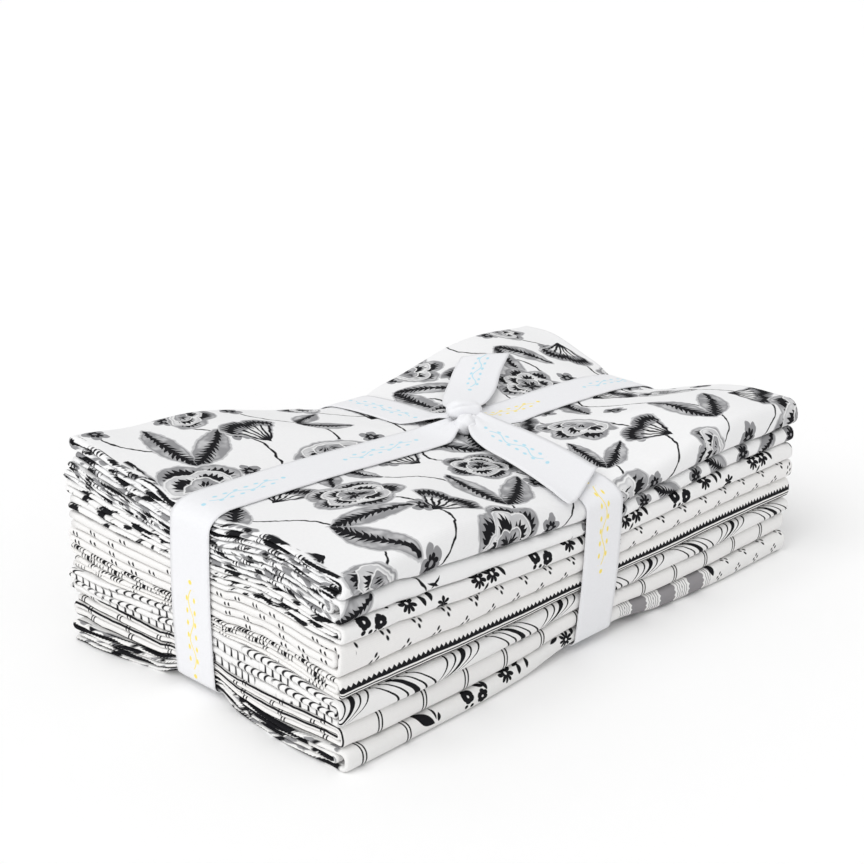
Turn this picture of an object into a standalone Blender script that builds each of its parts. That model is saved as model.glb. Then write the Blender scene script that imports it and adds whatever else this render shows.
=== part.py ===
"""A fabric bundle: eight folded cuts of printed cotton, stacked and tied both ways with one ribbon.

Each cut is a fat quarter of quilting cotton. It is first folded end to end, so the cloth is double and the
short end on the left is a fold. The doubled cloth is then folded in half twice across its width. A section
across the bundle therefore runs back and forth through four layers: an outer fold along the long front side,
a second fold nested in it, and one fold at the back.

The cuts are worked out side by side as a plain stack, and one function, pressed(), then squeezes that stack
the way the ribbon does: it sinks the top along both ribbons, lifts the bottom there, draws the sides in, and
leaves the four quarters between the ribbons as full as they are.

Axes: X runs along the long side, Y from the long front side to the back, Z up. While the stack is worked out
its corner is at the left front, and the finished bundle is moved to stand on the middle of its bounding box.
"""

import math
from collections import namedtuple

import bmesh
import bpy
from mathutils import Vector

MM = 0.001

# The stack
LENGTH = 229 * MM  # a fat quarter's 18 inches, folded in half
WIDTH = 132 * MM  # its 21 to 22 inches, folded in four
LAYERS = 4
LAYER_SHARE = 0.78  # how much of the pitch of the layers is cloth, and the rest is air
CUT_GAP = 0.5 * MM

# The ribbon
RIBBON_WIDTH = 19 * MM
RIBBON_THICK = 1.0 * MM
RIBBON_CLEAR = 0.5 * MM
CROSS_X = 120 * MM  # the middle of the crosswise ribbon
ALONG_Y = 71 * MM  # the middle of the lengthwise ribbon
FLAT = 10.5 * MM  # half of the strip that the ribbon presses flat

# How the ribbon presses the stack
TOP_REACH_X = 78 * MM
TOP_REACH_Y = 52 * MM
BOTTOM_REACH_X = 46 * MM
BOTTOM_REACH_Y = 24 * MM
BOTTOM_LIFT = 2.3 * MM
EDGE_LIFT = 2.0 * MM  # added to the lift where the ribbon turns up over an edge
WAIST = 1.2 * MM
BOW = 1.0 * MM
BOTTOM_SHARED = 0.7  # how much of the smaller lift adds to the larger one
EDGE_SHARPNESS = 6
CORNER_DROOP = 5.0 * MM
CORNER_REACH = 46 * MM
END_DROOP = 1.6 * MM  # the raw ends at the right sag by this much
END_REACH = 26 * MM

# The height of the top over each corner of the stack, and how far each ribbon sinks it
TOP_LEFT_FRONT = 67.5 * MM
TOP_RIGHT_FRONT = 61.6 * MM
TOP_LEFT_BACK = 70.5 * MM
TOP_RIGHT_BACK = 61.5 * MM
SINK_MIDDLE = 4.8 * MM
SINK_FRONT = 9.0 * MM
SINK_BACK = 10.2 * MM
SINK_LEFT = 4.5 * MM
SINK_RIGHT = 7.7 * MM
SINK_SHARED = 0.25  # how much of the smaller pull adds to the larger one

# Where the sheets have their points, in millimetres
X_STATIONS = (7, 30, 80, 109.5, 130.5, 148, 172, 205, 222)
Y_STATIONS = (28, 48, 60.5, 81.5, 99, 114)
RIBBON_Y_STATIONS = (8, *Y_STATIONS, 124)
LEVELS = (0.8, 0.6, 0.4, 0.2)
BIG_FOLD_STEPS = 6
SMALL_FOLD_STEPS = 4
STATION_GAP = 3 * MM  # no station is nearer than this to the end of a layer

# The knot, and how the ribbon's four arms come to it
KNOT_X = 127 * MM
KNOT_Y = 71 * MM
KNOT_LONG = 12.5 * MM
KNOT_WIDE = 8.5 * MM
KNOT_HIGH = 7.5 * MM
KNOT_TURN = 46  # degrees, its long way seen from above
KNOT_LIFT = 0.5 * MM
KNOT_ROUND = 14
KNOT_RINGS = 9
KNOT_WRAP = 0.14  # how much fuller it is round its middle
ARM_END = 5.2 * MM  # from the knot's middle to an arm's end
ARM_NARROW = 9.0 * MM
ARM_TAPER = 18 * MM
ARM_RISE = 1.8 * MM
UNDERPASS = 1.5 * MM  # how much lower the crosswise ribbon runs where it passes under the other

Cut = namedtuple(
    "Cut", "node height front back left_front left_back right_front right_back tuck turned colour"
)

# One row for each cut, from the bottom up. Height is its share of the stack. Front and back are how far its
# folds stand out past the stack's long sides. The left and right columns say the same of its two ends, at the
# front and at the back. Tuck is how far its inner fold stops short of the outer one, and a turned cut lies
# with its back fold below. All in millimetres.
CUTS = (
    Cut("cut_8_mixed_print", 9.0, 1.6, -0.6, 1.2, 4.6, 0.8, 0.4, 3.0, False, (0.79, 0.78, 0.75)),
    Cut("cut_7_pin_lines", 7.0, -0.2, 1.6, 0.6, 1.4, -0.6, -0.8, 0.8, True, (0.82, 0.81, 0.78)),
    Cut("cut_6_arcs", 7.0, 0.8, 1.0, 2.0, 2.6, -0.4, 0.6, 1.6, False, (0.82, 0.81, 0.79)),
    Cut("cut_5_sawtooth_border", 7.5, 0.2, 1.2, 1.4, 1.2, 1.8, 1.0, 0.6, False, (0.80, 0.79, 0.75)),
    Cut("cut_4_small_dots", 7.3, 0.6, 1.4, 2.2, 1.4, 0.6, 1.2, 1.0, True, (0.82, 0.81, 0.77)),
    Cut("cut_3_daisies", 7.5, 0.8, 1.4, 1.2, 1.2, 0.8, 0.2, 0.8, False, (0.80, 0.80, 0.78)),
    Cut("cut_2_leaf_stems", 6.2, -0.4, 1.6, 0.6, 1.8, 2.4, 0.6, 4.0, True, (0.80, 0.80, 0.79)),
    Cut("cut_1_large_floral", 10.4, 0.5, 0.4, 0.2, 0.8, 3.6, 0.2, 1.2, False, (0.84, 0.84, 0.84)),
)

# The tails: a row for each place along a tail, from the knot out to its cut end. Left and right are its two
# edges on the plain stack, and rise is its height over the top cut. All in millimetres.
Across = namedtuple("Across", "left_x left_y right_x right_y rise")
FRONT_TAIL = (
    Across(122.4, 64.6, 130.8, 66.2, 4.0),
    Across(115.5, 54.0, 133.5, 55.0, 3.4),
    Across(113.0, 38.0, 133.5, 40.0, 2.6),
    Across(110.5, 17.5, 132.5, 24.5, 2.4),
    Across(108.0, 1.5, 130.5, 11.5, 2.6),
)
BACK_TAIL = (
    Across(125.8, 78.4, 134.6, 74.6, 3.9),
    Across(134.5, 88.5, 146.5, 77.0, 2.8),
    Across(149.0, 100.0, 163.0, 86.0, 2.2),
    Across(168.0, 111.0, 184.0, 101.0, 3.6),
)

STACK = sum(cut.height for cut in CUTS) * MM - CUT_GAP


def blend(a, b, share):
    return a + (b - a) * share


def near(distance, flat, reach):
    """1 within flat of a line, 0 from reach on, and a smooth slope between."""
    share = (abs(distance) - flat) / (reach - flat)
    share = min(1.0, max(0.0, share))
    return 0.5 + 0.5 * math.cos(math.pi * share)


def top_height(x, y):
    """How high the top of the bundle is over a point of the stack."""
    along, across = x / LENGTH, y / WIDTH
    front = blend(TOP_LEFT_FRONT, TOP_RIGHT_FRONT, along)
    back = blend(TOP_LEFT_BACK, TOP_RIGHT_BACK, along)
    return blend(front, back, across)


def sink_along(place, length, start, end):
    """How far a ribbon sinks the top at a place on its way, most at the two edges."""
    share = 2 * place / length - 1
    edge = start if share < 0 else end
    return blend(SINK_MIDDLE, edge, share * share)


def top_sink(x, y):
    """How far the ribbons, the loose corner at the left front and the sagging right end lower the top."""
    cross = sink_along(y, WIDTH, SINK_FRONT, SINK_BACK) * near(x - CROSS_X, FLAT, TOP_REACH_X)
    along = sink_along(x, LENGTH, SINK_LEFT, SINK_RIGHT) * near(y - ALONG_Y, FLAT, TOP_REACH_Y)
    corner = CORNER_DROOP * near(math.hypot(x, y), 0.0, CORNER_REACH)
    end = END_DROOP * near(x - LENGTH, 0.0, END_REACH)
    return max(cross, along) + SINK_SHARED * min(cross, along) + corner + end


def bottom_lift(x, y):
    """How far the two ribbons lift the bottom, most where they turn up over an edge."""
    end = abs(2 * x / LENGTH - 1) ** EDGE_SHARPNESS
    side = abs(2 * y / WIDTH - 1) ** EDGE_SHARPNESS
    cross = (BOTTOM_LIFT + EDGE_LIFT * side) * near(x - CROSS_X, FLAT, BOTTOM_REACH_X)
    along = (BOTTOM_LIFT + EDGE_LIFT * end) * near(y - ALONG_Y, FLAT, BOTTOM_REACH_Y)
    return max(cross, along) + BOTTOM_SHARED * min(cross, along)


def pressed(x, y, z):
    """Where a point of the plain stack lies in the tied bundle."""
    level = z / STACK
    bow = BOW * (1 - (2 * level - 1) ** 2)
    out_x = bow - WAIST * near(y - ALONG_Y, FLAT, TOP_REACH_Y)
    out_y = bow - WAIST * near(x - CROSS_X, FLAT, TOP_REACH_X)
    middle_x, middle_y = LENGTH / 2, WIDTH / 2
    return Vector((
        x + (x - middle_x) / middle_x * out_x,
        y + (y - middle_y) / middle_y * out_y,
        z * top_height(x, y) / STACK - top_sink(x, y) * level ** 2 + bottom_lift(x, y) * (1 - level) ** 3,
    ))


def arc(centre_y, centre_z, radius, start, end, steps):
    """The inner points of a fold, without its two ends, and the direction across the cloth at each."""
    points = []
    for step in range(1, steps):
        angle = math.radians(blend(start, end, step / steps))
        points.append((centre_y + radius * math.cos(angle), centre_z + radius * math.sin(angle), angle))
    return points


def run(start_y, end_y, z, angle):
    """A flat layer of cloth from one y to another, with its ends."""
    low, high = min(start_y, end_y), max(start_y, end_y)
    between = [y * MM for y in Y_STATIONS if low + STATION_GAP < y * MM < high - STATION_GAP]
    ordered = [low, *between, high]
    if start_y > end_y:
        ordered.reverse()
    return [(y, z, math.radians(angle)) for y in ordered]


def folded_path(cut, base, front, back):
    """The line of one cut's cloth across the bundle, as y, z and the direction that points out of the cloth.

    Seen from the left end: along the bottom layer to the front, round the outer fold, along the top layer to
    the back, round the back fold, along the next layer to the inner fold, and back to the other raw edge.
    """
    pitch = (cut.height * MM - CUT_GAP) / (LAYERS - 1 + LAYER_SHARE)
    thick = LAYER_SHARE * pitch
    first = base + CUT_GAP / 2 + thick / 2
    middle = first + 1.5 * pitch
    outer = 1.5 * pitch
    inner = 0.5 * pitch
    turn = front + thick / 2 + outer
    fold_back = back - thick / 2 - inner
    tucked = turn + cut.tuck * MM
    path = run(back - thick, turn, first, -90)
    path += arc(turn, middle, outer, -90, -270, BIG_FOLD_STEPS)
    path += run(turn, fold_back, first + 3 * pitch, 90)
    path += arc(fold_back, first + 2.5 * pitch, inner, 90, -90, SMALL_FOLD_STEPS)
    path += [(y, z, math.radians(-90)) for y, z, _ in run(fold_back, tucked, first + 2 * pitch, 0)]
    path += [
        (y, z, angle + math.pi)
        for y, z, angle in arc(tucked, middle, inner, 90, 270, SMALL_FOLD_STEPS)
    ]
    path += run(tucked, back - 1.6 * thick, first + pitch, 90)
    if cut.turned:
        path = [(y, 2 * middle - z, -angle) for y, z, angle in path]
    return path, thick


def plate(name, rows, columns, place, material):
    """A closed sheet with rows x columns points on each of its two sides, each put where place() says."""
    mesh = bpy.data.meshes.new(name)
    sheet = bmesh.new()
    bmesh.ops.create_grid(sheet, x_segments=rows - 1, y_segments=columns - 1, size=0.5)
    lower = sheet.verts[:]
    raised = bmesh.ops.extrude_face_region(sheet, geom=sheet.faces[:])["geom"]
    upper = [item for item in raised if isinstance(item, bmesh.types.BMVert)]
    for side, corners in ((-1, lower), (1, upper)):
        for corner in corners:
            row = round((corner.co.x + 0.5) * (rows - 1))
            column = round((corner.co.y + 0.5) * (columns - 1))
            corner.co = place(row, column, side)
    bmesh.ops.recalc_face_normals(sheet, faces=sheet.faces[:])
    if sheet.calc_volume(signed=True) < 0:
        bmesh.ops.reverse_faces(sheet, faces=sheet.faces[:])
    sheet.to_mesh(mesh)
    sheet.free()
    mesh.materials.append(material)
    thing = bpy.data.objects.new(name, mesh)
    bpy.context.collection.objects.link(thing)
    return thing


def cloth(name, colour, roughness):
    material = bpy.data.materials.new(name)
    material.use_nodes = True
    shader = material.node_tree.nodes["Principled BSDF"]
    shader.inputs["Base Color"].default_value = (*colour, 1)
    shader.inputs["Roughness"].default_value = roughness
    shader.inputs["Metallic"].default_value = 0
    return material


def folded_cut(cut, base):
    """One cut of cloth: its folded section, carried along the bundle and pressed with the rest."""
    columns = len(X_STATIONS) + 2

    def x_at(column, y):
        free = 1 - near(y - ALONG_Y, FLAT, TOP_REACH_Y)
        across = y / WIDTH
        if column == 0:
            return -blend(cut.left_front, cut.left_back, across) * MM * free
        if column == columns - 1:
            return LENGTH + blend(cut.right_front, cut.right_back, across) * MM * free
        return X_STATIONS[column - 1] * MM

    def section_at(x):
        free = 1 - near(x - CROSS_X, FLAT, TOP_REACH_X)
        return folded_path(cut, base, -cut.front * MM * free, WIDTH + cut.back * MM * free)

    sections = [section_at(x_at(column, 0.0)) for column in range(columns)]

    def place(row, column, side):
        path, thick = sections[column]
        y, z, angle = path[row]
        y += side * thick / 2 * math.cos(angle)
        z += side * thick / 2 * math.sin(angle)
        return pressed(x_at(column, y), y, z)

    return plate(cut.node, len(sections[0][0]), columns, place, cloth(cut.node, cut.colour, 0.9))


def loop_round(length, stations, knot):
    """A ribbon's way round the plain stack, as pairs of a place along it and a height.

    It starts at one side of the knot, goes over the near edge, under the stack and up over the far edge to
    the other side of the knot, everywhere RIBBON_CLEAR outside the stack.
    """
    clear = RIBBON_CLEAR
    slant = clear * math.sqrt(0.5)
    before = [place * MM for place in stations if place * MM < knot - ARM_END - STATION_GAP]
    after = [place * MM for place in stations if place * MM > knot + ARM_END + STATION_GAP]
    way = [(place, STACK + clear) for place in (knot - ARM_END, *reversed(before))]
    way += [(0.0, STACK + clear), (-slant, STACK + slant), (-clear, STACK)]
    way += [(-clear, level * STACK) for level in LEVELS]
    way += [(-clear, 0.0), (-slant, -slant), (0.0, -clear)]
    way += [(place * MM, -clear) for place in stations]
    way += [(length, -clear), (length + slant, -slant), (length + clear, 0.0)]
    way += [(length + clear, level * STACK) for level in reversed(LEVELS)]
    way += [(length + clear, STACK), (length + slant, STACK + slant), (length, STACK + clear)]
    way += [(place, STACK + clear) for place in (*reversed(after), knot + ARM_END)]
    return way


def ribbon(name, edges, material):
    """A ribbon laid along the pairs of points of its two edges, with its thickness outward."""
    last = len(edges) - 1
    middles = [(left + right) / 2 for left, right in edges]

    def place(row, column, side):
        left, right = edges[row]
        ahead = middles[min(row + 1, last)] - middles[max(row - 1, 0)]
        outward = (right - left).cross(ahead).normalized()
        return blend(left, right, column / 2) + (outward * RIBBON_THICK if side > 0 else Vector())

    return plate(name, len(edges), 3, place, material)


def ribbon_edges(way, knot, place_at):
    """The two edges of a ribbon along its way, which rises and narrows towards the knot on top."""
    edges = []
    for place, height in way:
        close = near(place - knot, ARM_END, ARM_TAPER) if height > STACK else 0.0
        half = blend(RIBBON_WIDTH, ARM_NARROW, close) / 2
        rise = Vector((0, 0, ARM_RISE * close))
        edges.append([place_at(place, height, close, offset) + rise for offset in (-half, half)])
    return edges


def lengthwise_ribbon(material):
    def place_at(x, z, close, offset):
        return pressed(x, ALONG_Y + offset, z)

    edges = ribbon_edges(loop_round(LENGTH, X_STATIONS, KNOT_X), KNOT_X, place_at)
    ribbon("ribbon_lengthwise", edges, material)


def crosswise_ribbon(material):
    """It passes under the lengthwise one below the stack, and leans over to the knot on top."""

    def place_at(y, z, close, offset):
        crossing = z < 0 and abs(y - ALONG_Y) < FLAT + MM
        x = blend(CROSS_X, KNOT_X, close) - offset
        return pressed(x, y, z - UNDERPASS if crossing else z)

    edges = ribbon_edges(loop_round(WIDTH, RIBBON_Y_STATIONS, KNOT_Y), KNOT_Y, place_at)
    ribbon("ribbon_crosswise", edges, material)


def tail(name, table, material):
    """A free end of the ribbon, lying over the top."""

    def place(row, column, side):
        across = table[row]
        share = column / 2
        point = pressed(
            blend(across.left_x, across.right_x, share) * MM,
            blend(across.left_y, across.right_y, share) * MM,
            STACK,
        )
        point.z += across.rise * MM + (RIBBON_THICK if side > 0 else 0.0)
        return point

    plate(name, len(table), 3, place, material)


def knot(material):
    """The knot: a small wrapped ball, fuller round its middle, that sits on the top cut."""
    mesh = bpy.data.meshes.new("knot")
    ball = bmesh.new()
    bmesh.ops.create_uvsphere(ball, u_segments=KNOT_ROUND, v_segments=KNOT_RINGS, radius=0.5)
    for corner in ball.verts:
        x, y, z = corner.co
        full = 1 - KNOT_WRAP + KNOT_WRAP * near(x, 0.05, 0.4)
        corner.co = Vector((x * KNOT_LONG, y * KNOT_WIDE * full, z * KNOT_HIGH * full))
    ball.to_mesh(mesh)
    ball.free()
    mesh.materials.append(material)
    mesh.shade_smooth()
    thing = bpy.data.objects.new("knot", mesh)
    thing.rotation_euler.z = math.radians(KNOT_TURN)
    thing.location = pressed(KNOT_X, KNOT_Y, STACK)
    thing.location.z += KNOT_LIFT + KNOT_HIGH / 2
    bpy.context.collection.objects.link(thing)


def centre_on_origin():
    """Moves everything so that the middle of the bounding box's bottom is the origin."""
    bpy.context.view_layer.update()
    corners = [
        thing.matrix_world @ corner.co
        for thing in bpy.data.objects
        for corner in thing.data.vertices
    ]
    low = Vector([min(corner[axis] for corner in corners) for axis in range(3)])
    high = Vector([max(corner[axis] for corner in corners) for axis in range(3)])
    middle = (low + high) / 2
    for thing in bpy.data.objects:
        thing.location -= Vector((middle.x, middle.y, low.z))


def build():
    base = -CUT_GAP / 2
    for cut in CUTS:
        folded_cut(cut, base)
        base += cut.height * MM
    satin = cloth("ribbon", (0.88, 0.89, 0.91), 0.55)
    lengthwise_ribbon(satin)
    crosswise_ribbon(satin)
    tail("tail_front", FRONT_TAIL, satin)
    tail("tail_back", BACK_TAIL, satin)
    knot(satin)
    centre_on_origin()


for thing in list(bpy.data.objects):
    bpy.data.objects.remove(thing)
build()
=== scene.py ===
"""The looks of a bundle of eight folded quilting cottons, tied both ways with one white ribbon.

Each cut is a single sheet of cloth. It goes from the raw end at the right along the inner ply to the left
end, round the fold there and back along the outer ply, and all of it follows the cut's folded section: an
outer fold at the long front side, a second fold nested in it, and one at the back. Three steps bring a point
of the plain stack to its place: settled() moves it up or down with its cut, under_ribbons() rounds the edges
that the ribbons turn over, and pressed() squeezes the whole, as in the part's own source. The prints are
worked out on the flat cloth, whose place each sheet keeps in its UV map, in metres.
"""

import math
from collections import namedtuple
from functools import reduce

import bmesh
import bpy
from mathutils import Matrix, Vector, noise


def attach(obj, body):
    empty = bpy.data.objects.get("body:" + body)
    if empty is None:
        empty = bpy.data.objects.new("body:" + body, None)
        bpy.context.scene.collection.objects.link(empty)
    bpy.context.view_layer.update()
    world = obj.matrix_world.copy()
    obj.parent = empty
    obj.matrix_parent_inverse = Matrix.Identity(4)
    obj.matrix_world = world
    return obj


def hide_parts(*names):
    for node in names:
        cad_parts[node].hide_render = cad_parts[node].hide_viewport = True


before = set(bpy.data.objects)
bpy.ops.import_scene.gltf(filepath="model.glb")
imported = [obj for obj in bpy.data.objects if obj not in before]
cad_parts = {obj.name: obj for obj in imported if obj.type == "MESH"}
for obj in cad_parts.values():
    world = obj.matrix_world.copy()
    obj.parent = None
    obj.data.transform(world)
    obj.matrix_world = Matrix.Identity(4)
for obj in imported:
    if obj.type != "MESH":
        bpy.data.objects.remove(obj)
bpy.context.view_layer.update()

MM = 0.001

# The stack, as in the part's source, apart from EDGE_LIFT
LENGTH = 229 * MM
WIDTH = 132 * MM
STACK_CORNER = Vector((-114.02, -66.28, 0.0)) * MM  # the stack's left front corner, in the frame
CUT_GAP = 0.5 * MM
FLAT = 10.5 * MM
CROSS_X = 120 * MM
ALONG_Y = 71 * MM
TOP_REACH_X = 78 * MM
TOP_REACH_Y = 52 * MM
BOTTOM_REACH_X = 40 * MM
BOTTOM_REACH_Y = 20 * MM
BOTTOM_LIFT = 2.3 * MM
EDGE_LIFT = 1.0 * MM  # the source has 2: in the photograph the lower edges are lifted less
BOTTOM_SHARED = 0.7
EDGE_SHARPNESS = 6
WAIST = 1.2 * MM
BOW = 1.0 * MM
CORNER_DROOP = 5.0 * MM
CORNER_REACH = 46 * MM
END_DROOP = 1.6 * MM
END_REACH = 26 * MM
TOP_LEFT_FRONT = 67.5 * MM
TOP_RIGHT_FRONT = 61.6 * MM
TOP_LEFT_BACK = 70.5 * MM
TOP_RIGHT_BACK = 61.5 * MM
SINK_MIDDLE = 4.8 * MM
SINK_FRONT = 9.0 * MM
SINK_BACK = 10.2 * MM
SINK_LEFT = 4.5 * MM
SINK_RIGHT = 7.7 * MM
SINK_SHARED = 0.25

# What the cloth does in finer detail
PUFF = 0.9 * MM  # the cloth swells beside the ribbons
PUFF_REACH = 23 * MM
CORNER_RISE = 2.2 * MM  # the left back corner stands up
CORNER_RISE_REACH = 26 * MM
EDGE_ROUND = 1.2 * MM  # the ribbons round the stack's top edges
EDGE_ROUND_REACH = 9 * MM
EDGE_ROUND_WIDTH = 24 * MM
CORNER_TOP = 4.6 * MM  # the radius of the rounding right under a ribbon, above and below
CORNER_BOTTOM = 2.2 * MM
CORNER_FADE = 9 * MM
PLY = 0.3 * MM

Cut = namedtuple(
    "Cut", "node slot height front back left_front left_back right_front right_back tuck turned tint"
)

# One row for each cut, from the bottom up, in millimetres, as in the part's source. Tint is the bare cloth.
CUTS = (
    Cut(
        "cut_8_mixed_print", "print_mixed", 9.0, 1.6, -0.6, 1.2, 4.6, 0.8, 0.4, 3.0, False,
        (0.885, 0.88, 0.87),
    ),
    Cut(
        "cut_7_pin_lines", "print_pin_lines", 7.0, -0.2, 1.6, 0.6, 1.4, -0.6, -0.8, 0.8, True,
        (0.895, 0.885, 0.875),
    ),
    Cut(
        "cut_6_arcs", "print_arcs", 7.0, 0.8, 1.0, 2.0, 2.6, -0.4, 0.6, 1.6, False,
        (0.89, 0.885, 0.88),
    ),
    Cut(
        "cut_5_sawtooth_border", "print_sawtooth_border", 7.5, 0.2, 1.2, 1.4, 1.2, 1.8, 1.0, 0.6, False,
        (0.90, 0.89, 0.875),
    ),
    Cut(
        "cut_4_small_dots", "print_small_dots", 7.3, 0.6, 1.4, 2.2, 1.4, 0.6, 1.2, 1.0, True,
        (0.895, 0.885, 0.875),
    ),
    Cut(
        "cut_3_daisies", "print_daisies", 7.5, 0.8, 1.4, 1.2, 1.2, 0.8, 0.2, 0.8, False,
        (0.90, 0.895, 0.89),
    ),
    Cut(
        "cut_2_leaf_stems", "print_leaf_stems", 6.2, -0.4, 1.6, 0.6, 1.8, 2.4, 0.6, 4.0, True,
        (0.90, 0.90, 0.90),
    ),
    Cut(
        "cut_1_large_floral", "print_large_floral", 10.4, 0.5, 0.4, 0.2, 0.8, 3.6, 0.2, 1.2, False,
        (0.895, 0.895, 0.90),
    ),
)
STACK = sum(cut.height for cut in CUTS) * MM - CUT_GAP

# How much higher the edge between two cuts lies than in the plain stack, in millimetres, from the lowest edge
# up: along the front, from the left, and along the left end, from the front. Each row starts with its place.
FRONT_EDGES = (
    (3, -1.6, -0.9, 0.3, 0.3, 3.4, 2.0, 3.6),
    (10, -2.4, -1.3, 0.0, 0.2, 3.1, 1.8, 2.3),
    (20, -2.6, -1.4, -0.6, 0.1, 2.7, 0.5, 1.3),
    (33, -2.6, -1.7, -0.9, -0.3, 0.9, -1.3, -1.6),
    (52, -2.6, -1.3, -1.5, -1.3, -0.4, -2.3, -2.4),
    (70, -2.3, -1.3, -1.5, -0.8, 0.0, -1.4, -2.0),
    (91, -1.7, -1.9, -1.5, -0.9, 0.0, -0.4, -1.0),
    (109, -1.8, -1.9, -1.8, -0.9, 0.0, 0.0, -0.5),
    (139, -1.9, -2.0, -1.5, -0.5, 0.0, 0.6, 0.0),
    (160, -1.3, -1.0, -1.4, -0.1, 0.0, -0.5, -1.0),
    (184, -1.2, -0.9, -1.0, -0.1, -0.8, -1.5, -1.5),
    (210, -1.1, -0.3, -1.2, -0.2, -0.9, -1.6, -1.9),
    (226, -0.5, 0.0, -1.4, -0.2, -0.2, -0.7, -0.7),
)
LEFT_EDGES = (
    (3, -1.6, -0.9, 0.3, 0.3, 3.4, 2.6, 4.2),
    (19, -3.6, -2.4, 2.6, 2.0, 3.8, 4.4, 5.0),
    (32, -3.6, -2.8, 2.0, 0.6, 3.6, 2.6, 3.6),
    (46, -3.3, -3.6, 1.4, -0.7, 2.6, 1.5, 2.5),
    (58, -2.9, -4.8, 0.2, -2.6, 0.8, 1.0, 1.5),
    (81, -3.1, -1.6, 0.9, -1.8, 2.4, 2.5, 2.0),
    (129, -2.7, 0.0, -1.0, -1.2, 1.8, 3.6, 2.4),
)
FRONT_REACH = 40 * MM  # how far into the stack the moved edges level out
LEFT_REACH = 60 * MM
EDGE_HEIGHTS = [sum(cut.height for cut in CUTS[:count]) * MM - CUT_GAP / 2 for count in range(len(CUTS) + 1)]

# Creases of the top: soft ridges, or troughs where height is below zero. In millimetres, and turn in degrees.
Crease = namedtuple("Crease", "x y turn length width height")
CREASES = (
    Crease(103, 30, 82, 52, 3.2, 0.9),
    Crease(99, 12, 60, 30, 2.6, -0.8),
    Crease(94, 6, 35, 34, 3.0, 0.8),
    Crease(138, 22, 96, 40, 3.0, 0.8),
    Crease(146, 8, 128, 34, 2.8, -0.7),
    Crease(102, 58, 12, 34, 2.4, 0.7),
    Crease(96, 52, -18, 36, 2.8, -0.6),
    Crease(142, 57, -14, 32, 2.4, 0.6),
    Crease(150, 50, 20, 40, 3.0, -0.5),
    Crease(104, 88, -20, 36, 2.6, 0.6),
    Crease(140, 96, 60, 40, 3.0, 0.6),
    Crease(30, 57, 4, 58, 3.0, 0.7),
    Crease(22, 86, -6, 52, 3.0, 0.6),
    Crease(205, 56, 5, 50, 3.0, 0.6),
    Crease(208, 88, -8, 44, 3.0, 0.5),
    Crease(52, 24, 24, 70, 6.0, 0.6),
    Crease(182, 26, -16, 64, 6.0, 0.5),
    Crease(60, 108, -12, 70, 6.0, 0.5),
)


def blend(a, b, share):
    return a + (b - a) * share


def near(distance, flat, reach):
    """1 within flat of a line, 0 from reach on, and a smooth slope between."""
    share = min(1.0, max(0.0, (abs(distance) - flat) / (reach - flat)))
    return 0.5 + 0.5 * math.cos(math.pi * share)


def wander(x, y, z, size, seed):
    """A smooth uneven value from about -1 to 1 that changes over a distance of about size."""
    return noise.noise(Vector((x / size + seed, y / size + 3.7 * seed, z / size)))


def top_height(x, y):
    along, across = x / LENGTH, y / WIDTH
    front = blend(TOP_LEFT_FRONT, TOP_RIGHT_FRONT, along)
    back = blend(TOP_LEFT_BACK, TOP_RIGHT_BACK, along)
    return blend(front, back, across) + CORNER_RISE * near(math.hypot(x, y - WIDTH), 0, CORNER_RISE_REACH)


def sink_along(place, length, start, end):
    share = 2 * place / length - 1
    return blend(SINK_MIDDLE, start if share < 0 else end, share * share)


def top_sink(x, y):
    """How far the ribbons, the loose corner and the sagging right end lower the top, less the swelling."""
    over_cross = near(x - CROSS_X, FLAT, TOP_REACH_X)
    over_along = near(y - ALONG_Y, FLAT, TOP_REACH_Y)
    cross = sink_along(y, WIDTH, SINK_FRONT, SINK_BACK) * over_cross
    along = sink_along(x, LENGTH, SINK_LEFT, SINK_RIGHT) * over_along
    corner = CORNER_DROOP * near(math.hypot(x, y), 0.0, CORNER_REACH)
    end = END_DROOP * near(x - LENGTH, 0.0, END_REACH)
    beside = (1 - near(x - CROSS_X, FLAT, PUFF_REACH)) * (1 - near(y - ALONG_Y, FLAT, PUFF_REACH))
    return max(cross, along) + SINK_SHARED * min(cross, along) + corner + end - PUFF * beside


def rounded_edge(x, y):
    """How far the ribbons bring down the stack's top edges where they turn over them."""
    ends = max(near(x, 0, EDGE_ROUND_REACH), near(x - LENGTH, 0, EDGE_ROUND_REACH))
    sides = max(near(y, 0, EDGE_ROUND_REACH), near(y - WIDTH, 0, EDGE_ROUND_REACH))
    return EDGE_ROUND * max(
        ends * near(y - ALONG_Y, FLAT, EDGE_ROUND_WIDTH),
        sides * near(x - CROSS_X, FLAT, EDGE_ROUND_WIDTH),
    )


def bottom_lift(x, y):
    end = abs(2 * x / LENGTH - 1) ** EDGE_SHARPNESS
    side = abs(2 * y / WIDTH - 1) ** EDGE_SHARPNESS
    cross = (BOTTOM_LIFT + EDGE_LIFT * side) * near(x - CROSS_X, FLAT, BOTTOM_REACH_X)
    along = (BOTTOM_LIFT + EDGE_LIFT * end) * near(y - ALONG_Y, FLAT, BOTTOM_REACH_Y)
    return max(cross, along) + BOTTOM_SHARED * min(cross, along)


def pressed(x, y, z):
    """Where a point of the plain stack lies in the tied bundle, in the frame."""
    level = z / STACK
    bow = BOW * (1 - (2 * level - 1) ** 2)
    out_x = bow - WAIST * near(y - ALONG_Y, FLAT, TOP_REACH_Y)
    out_y = bow - WAIST * near(x - CROSS_X, FLAT, TOP_REACH_X)
    lower = top_sink(x, y) * level ** 2 + rounded_edge(x, y) * level ** 9
    return STACK_CORNER + Vector((
        x + (x / (LENGTH / 2) - 1) * out_x,
        y + (y / (WIDTH / 2) - 1) * out_y,
        z * top_height(x, y) / STACK - lower + bottom_lift(x, y) * (1 - level) ** 3,
    ))


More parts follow.
